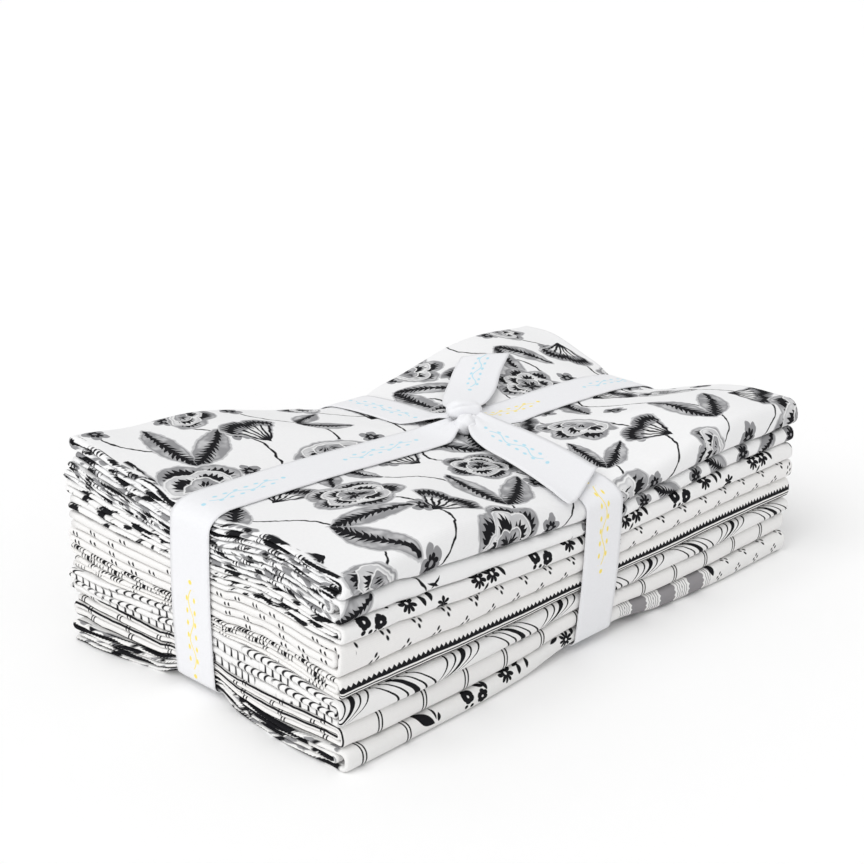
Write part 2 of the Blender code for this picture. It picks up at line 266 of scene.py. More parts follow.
def corner_rounded(out, z, strength):
    """Draws a square edge of the stack in to a round one. out is the distance from the side, inwards."""
    for radius, height, up in ((CORNER_TOP, STACK, 1), (CORNER_BOTTOM, 0.0, -1)):
        beyond_x, beyond_z = radius - out, (z - height) * up + radius
        if strength > 0 and beyond_x > 0 and beyond_z > 0:
            larger, away = max(beyond_x, beyond_z), math.hypot(beyond_x, beyond_z)
            kept = 1 - strength * (1 - larger / away) * min(1.0, larger / radius) ** 2
            return radius - beyond_x * kept, height + up * (beyond_z * kept - radius)
    return out, z


def edges_at(rows, place):
    """How far each edge between the cuts is moved at a place along a side."""
    place = min(max(place / MM, rows[0][0]), rows[-1][0])
    row = next(index for index in range(1, len(rows)) if rows[index][0] >= place)
    before, after = rows[row - 1], rows[row]
    share = (place - before[0]) / (after[0] - before[0])
    share *= share * (3 - 2 * share)
    return [blend(low, high, share) * MM for low, high in zip(before[1:], after[1:])]


def settled(x, y, z):
    """A point of the plain stack, moved up or down with the cut it belongs to."""
    front, left = near(y, 2 * MM, FRONT_REACH), near(x, 2 * MM, LEFT_REACH)
    moved = [
        blend(at_left * left, at_front, front)
        for at_left, at_front in zip(edges_at(LEFT_EDGES, y), edges_at(FRONT_EDGES, x))
    ]
    moved = [0.0, *moved, 0.0]
    cut = next((index for index in range(len(CUTS) - 1) if z < EDGE_HEIGHTS[index + 1]), len(CUTS) - 1)
    share = (z - EDGE_HEIGHTS[cut]) / (EDGE_HEIGHTS[cut + 1] - EDGE_HEIGHTS[cut])
    return x, y, z + blend(moved[cut], moved[cut + 1], min(1.0, max(0.0, share)))


def under_ribbons(x, y, z):
    """The same point of the plain stack, drawn in where the ribbons turn over the stack's edges."""
    along = near(y - ALONG_Y, FLAT, FLAT + CORNER_FADE)
    cross = near(x - CROSS_X, FLAT, FLAT + CORNER_FADE)
    if x < LENGTH / 2:
        x, z = corner_rounded(x, z, along)
    else:
        out, z = corner_rounded(LENGTH - x, z, along)
        x = LENGTH - out
    if y < WIDTH / 2:
        y, z = corner_rounded(y, z, cross)
    else:
        out, z = corner_rounded(WIDTH - y, z, cross)
        y = WIDTH - out
    return x, y, z


def creased(x, y):
    """The creases of the top at a point of the stack."""
    total = 0.0
    for crease in CREASES:
        turn = math.radians(crease.turn)
        off_x, off_y = x / MM - crease.x, y / MM - crease.y
        along = off_x * math.cos(turn) + off_y * math.sin(turn)
        if abs(along) > crease.length / 2:
            continue
        across = off_y * math.cos(turn) - off_x * math.sin(turn)
        across += 0.8 * math.sin(along / 9)
        section = math.exp(-(across / crease.width) ** 2)
        total += crease.height * MM * near(along, 0, crease.length / 2) * section
    return total


def new_piece(name, mesh, material):
    mesh.shade_smooth()
    mesh.materials.append(material)
    piece = bpy.data.objects.new(name, mesh)
    bpy.context.collection.objects.link(piece)
    return piece


def woven_sheet(name, rows, columns, place, flat_place, outward, material):
    """A sheet of rows x columns points where place() puts them, with their places on the flat cloth as UVs.

    outward gives a row, a column and the direction that the right side of the cloth faces there.
    """
    mesh = bpy.data.meshes.new(name)
    sheet = bmesh.new()
    bmesh.ops.create_grid(sheet, x_segments=rows - 1, y_segments=columns - 1, size=0.5)
    cloth_map = sheet.loops.layers.uv.new("flat_cloth")
    spots = {
        corner: (round((corner.co.x + 0.5) * (rows - 1)), round((corner.co.y + 0.5) * (columns - 1)))
        for corner in sheet.verts
    }
    for face in sheet.faces:
        for loop in face.loops:
            loop[cloth_map].uv = flat_place(*spots[loop.vert])
    for corner, spot in spots.items():
        corner.co = place(*spot)
    sheet.normal_update()
    looked_at, direction = outward[:2], outward[2]
    facing = next(face for face in sheet.faces if spots[face.verts[0]] == looked_at)
    if facing.normal.dot(direction) < 0:
        bmesh.ops.reverse_faces(sheet, faces=sheet.faces[:])
    sheet.to_mesh(mesh)
    sheet.free()
    return new_piece(name, mesh, material)


def thickened(piece, thickness, offset):
    """Gives a sheet the thickness of its cloth."""
    wall = piece.modifiers.new("thickness", "SOLIDIFY")
    wall.thickness = thickness
    wall.offset = offset


def stands_for(piece, node, slot):
    """Puts a finished piece in the place of a node of the part."""
    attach(piece, "root")
    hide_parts(node)


# The folded cuts

LAYER_SHARE = 0.86  # how much of the pitch of the layers is cloth at the folded end
MID_SHARE = 0.80
FOLD_DEPTH = 0.70  # an outer fold is flatter than it is round
FOLD_SQUARE = 0.82
END_ROUND = 1.15  # how far a layer's folded end reaches, against half its thickness
END_FADE = 30 * MM
FOLD_RUN = 1.2 * MM  # the cloth in half of the fold at the left end
STAGGER = 1.1 * MM
WAVE = 0.42 * MM
FRONT_WAVE = 0.55 * MM
FOLD_STEPS = 14
INNER_STEPS = 7
END_STEPS = 8
Spot = namedtuple("Spot", "y z angle run")


def stations(length, fine_start, fine_end, step):
    """Places along a side: close together at its two ends, and a step apart between."""
    start = [0.0, 0.5, 1.2, 2.2, 3.6, 5.6, 8.0][:fine_start]
    end = [0.0, 0.6, 1.6, 3.2, 5.6, 8.4][:fine_end]
    low, high = start[-1], length / MM - end[-1]
    count = round((high - low) / step)
    middle = [blend(low, high, index / count) for index in range(1, count)]
    return [place * MM for place in [*start, *middle, *[length / MM - place for place in reversed(end)]]]


def straight(start_y, end_y, z, count):
    return [(blend(start_y, end_y, index / count), z) for index in range(count + 1)]


def squarer(value, power):
    return math.copysign(abs(value) ** power, value)


def turned_fold(centre_y, centre_z, depth, radius, start, end, steps, power=1.0):
    """The inner points of a fold from one angle to another: an ellipse, or squarer below a power of 1."""
    points = []
    for step in range(1, steps):
        angle = math.radians(blend(start, end, step / steps))
        out, up = squarer(math.cos(angle), power), squarer(math.sin(angle), power)
        points.append((centre_y + depth * out, centre_z + radius * up))
    return points


def folded_section(cut, base, front, back, layer_steps):
    """One cut's doubled cloth across the bundle: bottom, outer fold, top, back fold, nested layers."""
    pitch = (cut.height * MM - CUT_GAP * 0.3) / 4
    thick = LAYER_SHARE * pitch
    first = base + CUT_GAP * 0.15 + pitch / 2
    middle = first + 1.5 * pitch
    outer, inner = 1.5 * pitch, 0.5 * pitch
    turn = front + thick / 2 + outer * FOLD_DEPTH
    fold_back = back - thick / 2 - inner
    tucked = turn + cut.tuck * MM
    path = straight(back - thick, turn, first, layer_steps)
    path += turned_fold(turn, middle, outer * FOLD_DEPTH, outer, -90, -270, FOLD_STEPS, FOLD_SQUARE)
    half = len(path) - FOLD_STEPS // 2
    path += straight(turn, fold_back, first + 3 * pitch, layer_steps)
    path += turned_fold(fold_back, first + 2.5 * pitch, inner, inner, 90, -90, INNER_STEPS)
    path += straight(fold_back, tucked, first + 2 * pitch, layer_steps)
    path += turned_fold(tucked, middle, inner, inner, 90, 270, INNER_STEPS)
    path += straight(tucked, back - 1.8 * thick, first + pitch, layer_steps)
    side = 1
    if cut.turned:
        path = [(y, 2 * middle - z) for y, z in path]
        side = -1
    run, spots = 0.0, []
    for index, (y, z) in enumerate(path):
        if index:
            run += math.hypot(y - path[index - 1][0], z - path[index - 1][1])
        before, after = path[max(0, index - 1)], path[min(len(path) - 1, index + 1)]
        outward = math.atan2(side * (after[0] - before[0]), side * (before[1] - after[1]))
        spots.append(Spot(y, z, outward, run))
    zero = spots[half].run
    return [spot._replace(run=spot.run - zero) for spot in spots], thick, half


def folded_cut(cut, base, index, material):
    """One fat quarter, folded end to end and then twice across, as a single thin sheet."""
    is_top = index == len(CUTS) - 1
    layer_steps = 44 if is_top else 27
    across = stations(LENGTH, 7, 6, 3.4 if is_top else 4.8)
    fold = [blend(-90, 90, step / END_STEPS) for step in range(1, END_STEPS)]
    columns = [(place, -1.0, 1.0) for place in reversed(across)]
    columns += [(0.0, math.sin(math.radians(angle)), 1 - math.cos(math.radians(angle))) for angle in fold]
    columns += [(place, 1.0, 1.0) for place in across]

    def section_at(x):
        free = 1 - near(x - CROSS_X, FLAT, TOP_REACH_X)
        before = FRONT_WAVE * wander(x, 0, 0, 38 * MM, index + 0.5) * (0.3 + 0.7 * free)
        behind = FRONT_WAVE * wander(x, 0, 0, 30 * MM, index + 9.5) * (0.3 + 0.7 * free)
        front, back = before - cut.front * MM * free, WIDTH + behind + cut.back * MM * free
        return folded_section(cut, base, front, back, layer_steps)

    sections = [section_at(place) for place, _, _ in columns]
    _, thick, half = sections[0]

    def place(row, column):
        station, side, reach = columns[column]
        spot = sections[column][0][row]
        share = spot.y / WIDTH
        free = 1 - near(spot.y - ALONG_Y, FLAT, TOP_REACH_Y)
        uneven = STAGGER * (
            wander(spot.run, 0, 0, 22 * MM, index * 2.3 + 1) + 0.5 * wander(spot.run, 0, 0, 7 * MM, index + 4)
        ) * (0.15 + 0.85 * free)
        left = -blend(cut.left_front, cut.left_back, share) * MM * free + uneven
        ply_uneven = (0.3 + 1.3 * free) * STAGGER * wander(spot.run, side * 0.4, 0, 18 * MM, index * 1.7 + 7)
        right = blend(cut.right_front, cut.right_back, share) * MM * free + ply_uneven
        at_left = max(0.0, 1 - station / END_FADE)
        at_right = max(0.0, 1 - (LENGTH - station) / END_FADE)
        half_thick = thick / 2 * blend(MID_SHARE / LAYER_SHARE, 1.0, max(at_left, at_right) ** 2)
        x = station + left * at_left + right * at_right
        if reach < 1.0 or station == 0.0:
            x += (reach - 1) * half_thick * END_ROUND
        y = spot.y + side * half_thick * math.cos(spot.angle)
        z = spot.z + side * half_thick * math.sin(spot.angle)
        point = pressed(*under_ribbons(*settled(x + half_thick * END_ROUND * at_left, y, z)))
        level = z / STACK
        point.z += WAVE * wander(x, y, z * 2.2, 26 * MM, 2.0) * (0.35 + 0.65 * at_left) * min(1.0, 3 * level)
        point.z += 0.22 * MM * wander(y, spot.z * 40, 0, 15 * MM, index + 3) * at_left
        if is_top:
            upper = max(0.0, min(1.0, (z - base) / (cut.height * MM) * 2 - 1))
            point.z += creased(x, y) * upper
        return point

    def flat_place(row, column):
        station, side, reach = columns[column]
        around = math.asin(side) / (math.pi / 2) * FOLD_RUN
        return (around + math.copysign(station, side) if station else around, sections[column][0][row].run)

    rows = len(sections[0][0])
    outer_column = len(columns) - len(across) // 2
    outward = (half, outer_column, Vector((0, -1, 0)))
    sheet = woven_sheet("cloth_" + cut.node, rows, len(columns), place, flat_place, outward, material)
    thickened(sheet, PLY, -1)
    stands_for(sheet, cut.node, cut.slot)


# The ribbon

RIBBON_WIDTH = 19 * MM
RIBBON_THICK = 0.28 * MM
RIBBON_CLEAR = 0.55 * MM
KNOT = Vector((127 * MM, 71 * MM))
ARM_END = 4.0 * MM
ARM_NARROW = 8.5 * MM
ARM_TAPER = 19 * MM
FRONT_ARM_NARROW = 7.0 * MM  # the arm that the front tail lies on is narrower for longer
FRONT_ARM_TAPER = 52 * MM
ARM_RISE = 2.2 * MM
ARM_ROLL = 3.2 * MM
ARM_ROLL_REACH = 32 * MM
ARM_ROLL_SHARE = 0.36
ROUND_TOP = CORNER_TOP + RIBBON_CLEAR
ROUND_BOTTOM = CORNER_BOTTOM + RIBBON_CLEAR
ROUND_STEPS = 7
RUN_STEP = 3.2 * MM
UNDERPASS = 1.2 * MM
RIBBON_COLUMNS = 13
RIBBON_MIDDLE = RIBBON_COLUMNS // 2
RIBBON_SHARES = [column / (RIBBON_COLUMNS - 1) for column in range(RIBBON_COLUMNS)]
BAND_ROW_SEEN = 4  # a row that surely faces up
PLEATS = 2.5
PLEAT_DEPTH = 0.9 * MM


def bend(place, height, radius, start):
    """A quarter turn of the ribbon over an edge, round a centre."""
    turns = [math.radians(start + 90 * step / ROUND_STEPS) for step in range(ROUND_STEPS + 1)]
    return [(place + radius * math.cos(turn), height + radius * math.sin(turn)) for turn in turns]


def level_run(start, end, height):
    count = max(2, round(abs(end - start) / RUN_STEP))
    return [(blend(start, end, index / count), height) for index in range(count + 1)]


def upright_run(place, start, end):
    return [(place, height) for height, _ in level_run(start, end, 0.0)]


def loop_round(length, knot):
    """The ribbon's way round the stack, from one side of the knot to the other."""
    clear = RIBBON_CLEAR
    over, under = STACK + clear, -clear
    top, low = ROUND_TOP - clear, ROUND_BOTTOM - clear
    way = level_run(knot - ARM_END, top, over)[:-1]
    way += bend(top, over - ROUND_TOP, ROUND_TOP, 90)
    way += upright_run(-clear, over - ROUND_TOP, low)[1:-1]
    way += bend(low, low, ROUND_BOTTOM, 180)
    way += level_run(low, length - low, under)[1:-1]
    way += bend(length - low, low, ROUND_BOTTOM, 270)
    way += upright_run(length + clear, low, over - ROUND_TOP)[1:-1]
    way += bend(length - top, over - ROUND_TOP, ROUND_TOP, 0)
    way += level_run(length - top, knot + ARM_END, over)[1:]
    return way


def ribbon_piece(name, node, rows, material, row_seen, print_start):
    """A stretch of the ribbon from its rows of points, with its place on the flat strip that it is cut to as
    UVs.
    """
    lengths = [0.0]
    for before, after in zip(rows, rows[1:]):
        lengths.append(lengths[-1] + (after[RIBBON_MIDDLE] - before[RIBBON_MIDDLE]).length)
    strip = woven_sheet(
        name, len(rows), RIBBON_COLUMNS,
        lambda row, column: rows[row][column],
        lambda row, column: (lengths[row] + print_start, (RIBBON_SHARES[column] - 0.5) * RIBBON_WIDTH),
        (row_seen, RIBBON_MIDDLE, Vector((0, 0, 1))), material,
    )
    thickened(strip, RIBBON_THICK, 1)
    stands_for(strip, node, "ribbon")


def gathered(share, close):
    """How far the ribbon's cloth stands up across its width where it is gathered towards the knot."""
    return PLEAT_DEPTH * close * (0.5 + 0.5 * math.cos(2 * math.pi * PLEATS * (share - 0.5)))


def band(name, node, length, knot, stack_point, material, print_start, front_arm, roll):
    """A ribbon round the stack. stack_point gives a place on it as the stack's x, y and z.

    roll is how far the near edge of the arm past the knot turns down.
    """
    rows = []
    for place, height in loop_round(length, knot):
        on_top = height > STACK
        narrow, taper = front_arm if place < knot else (ARM_NARROW, ARM_TAPER)
        close = near(place - knot, ARM_END, taper) if on_top else 0.0
        half = blend(RIBBON_WIDTH, narrow, close) / 2
        rolled = near(place - knot, ARM_END, ARM_ROLL_REACH) if on_top and place > knot else 0.0
        rows.append([])
        for share in RIBBON_SHARES:
            point = pressed(*stack_point(place, height, close, (2 * share - 1) * half))
            point.z += ARM_RISE * close + gathered(share, close) * (1 - min(1.0, roll / MM) * rolled)
            point.z -= roll * rolled * (max(0.0, 1 - share / ARM_ROLL_SHARE) ** 1.4 - 0.3)
            rows[-1].append(point)
    ribbon_piece(name, node, rows, material, BAND_ROW_SEEN, print_start)


def lengthwise_band(material):
    def stack_point(x, z, close, offset):
        bow = 0.5 * MM * math.sin(x / (31 * MM))
        return x, ALONG_Y + offset + bow, z

    front_arm = (ARM_NARROW, ARM_TAPER)
    names = ("ribbon_band_lengthwise", "ribbon_lengthwise")
    band(*names, LENGTH, KNOT.x, stack_point, material, 0.0, front_arm, ARM_ROLL)


def crosswise_band(material):
    """It passes under the lengthwise band below the stack, and leans a little on its way up the front."""

    def stack_point(y, z, close, offset):
        crossing = z < 0 and abs(y - ALONG_Y) < FLAT + 2 * MM
        lean = blend(-3.0, 1.0, min(1.0, max(0.0, z / STACK))) * MM * near(y, 0, 70 * MM)
        x = blend(CROSS_X + lean, KNOT.x, close) - offset
        return x, y, z - UNDERPASS if crossing else z

    front_arm = (FRONT_ARM_NARROW, FRONT_ARM_TAPER)
    names = ("ribbon_band_crosswise", "ribbon_crosswise")
    band(*names, WIDTH, KNOT.y, stack_point, material, 86 * MM, front_arm, 0.0)


Across = namedtuple("Across", "left_x left_y right_x right_y rise tilt")

# The tails, from the knot out to the cut end: the two edges on the plain stack and the height over the top.
FRONT_TAIL = (
    Across(123.6, 66.0, 131.6, 68.5, 4.6, 1.0),
    Across(116.5, 58.0, 133.0, 61.0, 3.6, 1.6),
    Across(112.0, 47.0, 133.5, 50.0, 2.8, 1.8),
    Across(109.6, 35.0, 132.8, 37.5, 2.3, 1.6),
    Across(105.4, 16.8, 131.0, 23.6, 2.0, 1.6),
    Across(99.8, -2.6, 128.8, 9.6, 2.0, 1.6),
)
BACK_TAIL = (
    Across(126.6, 77.4, 132.6, 72.8, 4.8, 0.0),
    Across(131.5, 86.0, 141.4, 75.6, 3.6, 0.0),
    Across(139.5, 93.5, 151.0, 80.4, 2.7, 0.0),
    Across(150.0, 101.0, 163.0, 87.4, 2.3, 0.0),
    Across(160.0, 107.5, 174.0, 95.0, 2.9, 0.0),
    Across(169.0, 112.0, 188.0, 103.0, 3.6, 0.0),
)
TAIL_STEPS = 7
TAIL_GATHERED = 0.34
TAIL_CURL = 0.5 * MM


def smooth_between(values, at):
    """A smooth curve through values, at a place from 0 to their last index."""
    index = min(int(at), len(values) - 2)
    share = at - index
    before, start, end, after = [values[0], *values, values[-1]][index:index + 4]
    slope, twist = end - before, 3 * (start - end) + after - before
    bow = 2 * before - 5 * start + 4 * end - after
    return start + 0.5 * share * (slope + share * (bow + share * twist))


def tail(name, node, table, material, print_start):
    """A free end of the ribbon: gathered where it leaves the knot, and flat towards its slanting cut end."""
    count = (len(table) - 1) * TAIL_STEPS
    rows = []
    for step in range(count + 1):
        at = step / TAIL_STEPS
        left_x, left_y, right_x, right_y, rise, tilt = (
            smooth_between([getattr(spot, field) for spot in table], at) * MM for field in Across._fields
        )
        close = near(step / count, 0.0, TAIL_GATHERED)
        rows.append([])
        for share in RIBBON_SHARES:
            point = pressed(blend(left_x, right_x, share), blend(left_y, right_y, share), STACK)
            curl = TAIL_CURL * (2 * share - 1) ** 2 * (step / count)
            point.z += rise + tilt * (share - 0.5) + gathered(share, close) + curl
            rows[-1].append(point)
    ribbon_piece(name, node, rows, material, count // 2, print_start)


Lump = namedtuple("Lump", "x y z long wide high turn tilt pleats twist")

# The knot is a wrap of gathered ribbon with a smaller turn below it, in millimetres and degrees.
LUMPS = (
    Lump(128.6, 72.4, 5.6, 13.4, 9.4, 8.4, -40, 6, 2.5, 3.0),
    Lump(122.6, 66.2, 3.2, 8.2, 7.6, 7.2, 52, -12, 2.0, -4.0),
)
LUMP_SQUARE = 0.80
PLEAT_CUT = 0.13
PLAIN_EDGE = 7.8 * MM  # nothing is printed this far off the ribbon's middle


def knot(material):
    mesh = bpy.data.meshes.new("ribbon_knot")
    shape = bmesh.new()
    cloth_map = shape.loops.layers.uv.new("flat_cloth")
    for lump in LUMPS:
        made = bmesh.ops.create_uvsphere(shape, u_segments=72, v_segments=40, radius=0.5)["verts"]
        centre = pressed(lump.x * MM, lump.y * MM, STACK)
        centre.z += lump.z * MM
        turn = Matrix.Rotation(math.radians(lump.turn), 3, "Z")
        turn = turn @ Matrix.Rotation(math.radians(lump.tilt), 3, "Y")
        for corner in made:
            x, y, z = corner.co
            around = math.atan2(z, y)
            fold = 1 - abs(math.sin(lump.pleats * around + lump.twist * x + 0.6))
            uneven = 1 + 0.16 * noise.noise(corner.co * 3 + Vector((lump.turn, 0, 0)))
            full = uneven * (1 - PLEAT_CUT * fold ** 4)
            corner.co = centre + turn @ Vector((
                squarer(2 * x, LUMP_SQUARE) / 2 * lump.long * MM,
                y * lump.wide * MM * full,
                z * lump.high * MM * full,
            ))
    for face in shape.faces:
        for loop in face.loops:
            loop[cloth_map].uv = (loop.vert.co.x, PLAIN_EDGE)
    shape.to_mesh(mesh)
    shape.free()
    stands_for(new_piece("ribbon_knot", mesh, material), "knot", "ribbon")


# Materials. A Field is a value that changes over the cloth, made of Math nodes in one node tree.

BLACK = (0.012, 0.012, 0.014)
GREY = (0.30, 0.30, 0.31)
PALE = (0.56, 0.56, 0.57)
WHITE_INK = (0.80, 0.80, 0.80)
THREAD_HEIGHT = 0.06 * MM
INCH = 25.4  # in the prints' millimetres
CLOTH_SCALE = 0.9665  # the prints lie a little closer towards the right end
DRAWN_IN = 3.556e-4
FULL_TURN = 6.283


def placed(tree, kind, inputs, **settings):
    """A new node. Its inputs, by title or number, are linked to fields and sockets, or get plain values."""
    node = tree.nodes.new(kind)
    for title, value in settings.items():
        setattr(node, title, value)
    for title, value in inputs.items():
        value = getattr(value, "socket", value)
        if isinstance(value, bpy.types.NodeSocket):
            tree.links.new(value, node.inputs[title])
        else:
            node.inputs[title].default_value = value
    return node


def maths(operation):
    return lambda field, *others: field.math(operation, *others)


class Field:
    def __init__(self, tree, socket):
        self.tree = tree
        self.socket = socket

    def math(self, operation, *others, clamp=False):
        inputs = dict(enumerate((self, *others)))
        node = placed(self.tree, "ShaderNodeMath", inputs, operation=operation, use_clamp=clamp)
        return Field(self.tree, node.outputs[0])

    __add__ = __radd__ = maths("ADD")
    __mul__ = __rmul__ = maths("MULTIPLY")
    __sub__ = maths("SUBTRACT")
    __truediv__ = maths("DIVIDE")
    __pow__ = maths("POWER")
    __abs__ = maths("ABSOLUTE")
    sin = maths("SINE")
    cos = maths("COSINE")
    turn_from = maths("ARCTAN2")
    root = maths("SQRT")
    floor = maths("FLOOR")
    modulo = maths("FLOORED_MODULO")
    least = maths("MINIMUM")
    most = maths("MAXIMUM")
    above = maths("GREATER_THAN")

    def __rsub__(self, other):
        return self * -1 + other

    def __neg__(self):
        return self * -1


def hypot(x, y):
    return (x * x + y * y).root()


def inked(distance, soft=0.22):
    """1 where a distance in millimetres is below zero, 0 where it is above, with a soft edge."""
    return distance.math("MULTIPLY_ADD", -1 / soft, 0.5, clamp=True)


def either(*masks):
    return reduce(Field.most, masks)


def within(value, low, high, soft=0.22):
    """1 between two limits."""
    return inked(abs(value - (low + high) / 2) - (high - low) / 2, soft)


def rotated(x, y, turn):
    """The coordinates x and y turned by an angle, a number in degrees or a Field in radians."""
    if isinstance(turn, Field):
        c, s = turn.cos(), turn.sin()
    else:
        c, s = math.cos(math.radians(turn)), math.sin(math.radians(turn))
    return x * c + y * s, y * c - x * s


def chance(x, y, seed):
    """An uneven value from 0 to 1 that is the same all over a cell, from the cell's two whole numbers."""
    joined = placed(x.tree, "ShaderNodeCombineXYZ", {0: x, 1: y, 2: seed})
    random = placed(x.tree, "ShaderNodeTexWhiteNoise", {"Vector": joined.outputs[0]}, noise_dimensions="3D")
    return Field(x.tree, random.outputs["Value"])


def any_turn(x, y, seed):
    return chance(x, y, seed) * FULL_TURN


def cells(x, y, across, along, shift=0.5, start=(0.0, 0.0)):
    """A staggered lattice: each cell's own coordinates from its middle, and its two whole numbers."""
    x, y = x + start[0], y + start[1]
    row = (y / along).floor()
    x = x + row.modulo(2.0) * (shift * across)
    column = (x / across).floor()
    return x - column * across - across / 2, y - row * along - along / 2, column, row


def repeat(x, pitch):
    """The distance from the middle of the nearest stretch of a pitch."""
    return x.modulo(pitch) - pitch / 2


def combed(x, pitch):
    """From 0 to 1 and back in each pitch, as the teeth of a comb."""
    return abs(repeat(x, pitch)) * (2 / pitch)


def blossom(x, y, radius, petals, depth, eye=0.55):
    """A small solid flower with round petals and a bare eye. Also its whole body, eye and all."""
    from_middle = hypot(x, y)
    lobe = abs((y.turn_from(x) * (petals / 2)).sin()) ** 0.7
    body = inked(from_middle - (lobe * depth + (1 - depth)) * radius)
    return body * (1 - inked(from_middle - eye)), body


def leaf(x, y, length, width, bow=0.0):
    """A pointed leaf along x from 0: the signed distance to its edge, its share along, and the way across."""
    share = (x / length).most(0.0).least(1.0)
    across = y - (share * (1 - share)) * (4 * bow)
    half = (share * math.pi).sin() ** 0.8 * (width / 2)
    outside = abs(x / length - 0.5) - 0.5
    return (abs(across) - half).most(outside * length), share, across


def turned_leaf(x, y, turn, length, width, bow=0.0):
    """The signed distance to the edge of a leaf that lies round the origin at an angle."""
    p, q = rotated(x, y, turn)
    return leaf(p + length / 2, q, length, width, bow)[0]


def cloth_group(name, numbers, outputs):
    """A group over the flat cloth, its inputs as fields, and the place along and across in millimetres."""
    group = bpy.data.node_groups.new(name, "ShaderNodeTree")
    group.interface.new_socket("Flat cloth", in_out="INPUT", socket_type="NodeSocketVector")
    for way, titles in (("INPUT", numbers), ("OUTPUT", outputs)):
        for title in titles:
            group.interface.new_socket(title, in_out=way, socket_type="NodeSocketFloat")
    sockets = group.nodes.new("NodeGroupInput").outputs
    given = {title: Field(group, sockets[title]) for title in ("Flat cloth", *numbers)}
    apart = placed(group, "ShaderNodeSeparateXYZ", {0: given["Flat cloth"]})
    return group, given, Field(group, apart.outputs[0]) * 1000, Field(group, apart.outputs[1]) * 1000


def cloudy(tree, vector, scale, detail, output=0):
    """Smooth noise over the cloth."""
    inputs = {"Vector": vector, "Scale": scale, "Detail": detail}
    return placed(tree, "ShaderNodeTexNoise", inputs).outputs[output]


def plain_weave_group():
    """A plain weave, warp over weft and under it in turn: the threads' height, and a faint tone made of the
    yarn's uneven slubs plus painted shade where the threads dip between their crowns.
    """
    group, given, along, across = cloth_group("plain_weave", ["Threads per mm"], ["Height", "Shade"])
    warp, weft = along * given["Threads per mm"], across * given["Threads per mm"]
    over = (warp.floor() + weft.floor()).modulo(2.0)
    height = abs((warp * math.pi).sin()) * over + abs((weft * math.pi).sin()) * (1 - over)
    slub = Field(group, cloudy(group, given["Flat cloth"], 900, 2))
    # the height term is painted shade: darker at the threads' edges and lighter on their crowns; the slub
    # noise is the yarn's own uneven tone
    slub_tone_and_painted_shade = height * 0.05 + slub * 0.05 + 0.925
    placed(group, "NodeGroupOutput", {"Height": height, "Shade": slub_tone_and_painted_shade})
    return group


def hand_drawn_group():
    """The place on the flat cloth in millimetres, pushed about a little, as by a pen that wanders."""
    group, given, along, across = cloth_group("hand_drawn", ["Wander"], ["Along", "Across"])
    push = placed(group, "ShaderNodeSeparateColor", {0: cloudy(group, given["Flat cloth"], 300, 1, "Color")})
    along = along * (abs(along) * DRAWN_IN + CLOTH_SCALE)
    moved = {
        way: place + (Field(group, push.outputs[way]) - 0.5) * given["Wander"] * 2
        for way, place in enumerate((along, across))
    }
    placed(group, "NodeGroupOutput", moved)
    return group


MARKS = (
    "Bar pitch", "Bar share", "Bar from", "Bar to", "Bow", "Run length", "Run share", "Patch length",
    "Patch share", "Grey share", "Bare share", "Seed",
)
MARKS_SLANT = 1.3


def fold_marks_group():
    """What a print shows on the narrow folded ends: bare stretches, short runs of bars, and patches."""
    group, given, along, across = cloth_group("fold_marks", MARKS, ["Bare", "Grey", "Black"])
    slanted = across + along * MARKS_SLANT

    def patches(length, tall, shift, share, ragged=0.0):
        place = {0: slanted / length + given["Seed"] + shift, 1: along / tall + shift}
        texture = placed(group, "ShaderNodeTexNoise", {"Detail": 1, "Scale": 1}, noise_dimensions="2D")
        group.links.new(placed(group, "ShaderNodeCombineXYZ", place).outputs[0], texture.inputs["Vector"])
        uneven = Field(group, texture.outputs[0]) - abs(repeat(slanted, 1.5)) * ragged
        return (uneven + share - 1).math("MULTIPLY_ADD", 18.0, 0.5, clamp=True)

    def near_fold(reach, soft):
        return inked(abs(along) - reach, soft)

    pitch, low, high = given["Bar pitch"], given["Bar from"], given["Bar to"]
    taper = ((along - low) / (high - low)).most(0.0).least(1.0) * 0.8 + 0.4
    bar_at = (across + along * along * given["Bow"]).modulo(pitch) / pitch
    bars = abs(bar_at - 0.5) * 2 - given["Bar share"] * taper
    bars = bars.math("MULTIPLY_ADD", -5.0, 0.5, clamp=True)
    bars = bars * patches(given["Run length"], 9.0, 0.0, given["Run share"])
    bars = bars * inked((low - along).most(along - high), 0.3)
    blots = patches(given["Patch length"], 2.6, 11.0, given["Patch share"], 0.08) * near_fold(1.9, 0.4)
    bare = patches(5.0, 6.0, 31.0, given["Bare share"]) * near_fold(3.2, 1.2)
    grey = patches(7.0, 2.8, 23.0, given["Grey share"]) * near_fold(2.4, 0.8)
    off_front = inked(5.2 - abs(across), 1.0)  # the outer front fold keeps the plain print
    masks = (bare, grey, bars.most(blots))
    placed(group, "NodeGroupOutput", {index: mask * off_front for index, mask in enumerate(masks)})
    return group


WEAVE = plain_weave_group()
HAND_DRAWN = hand_drawn_group()
FOLD_MARKS = fold_marks_group()


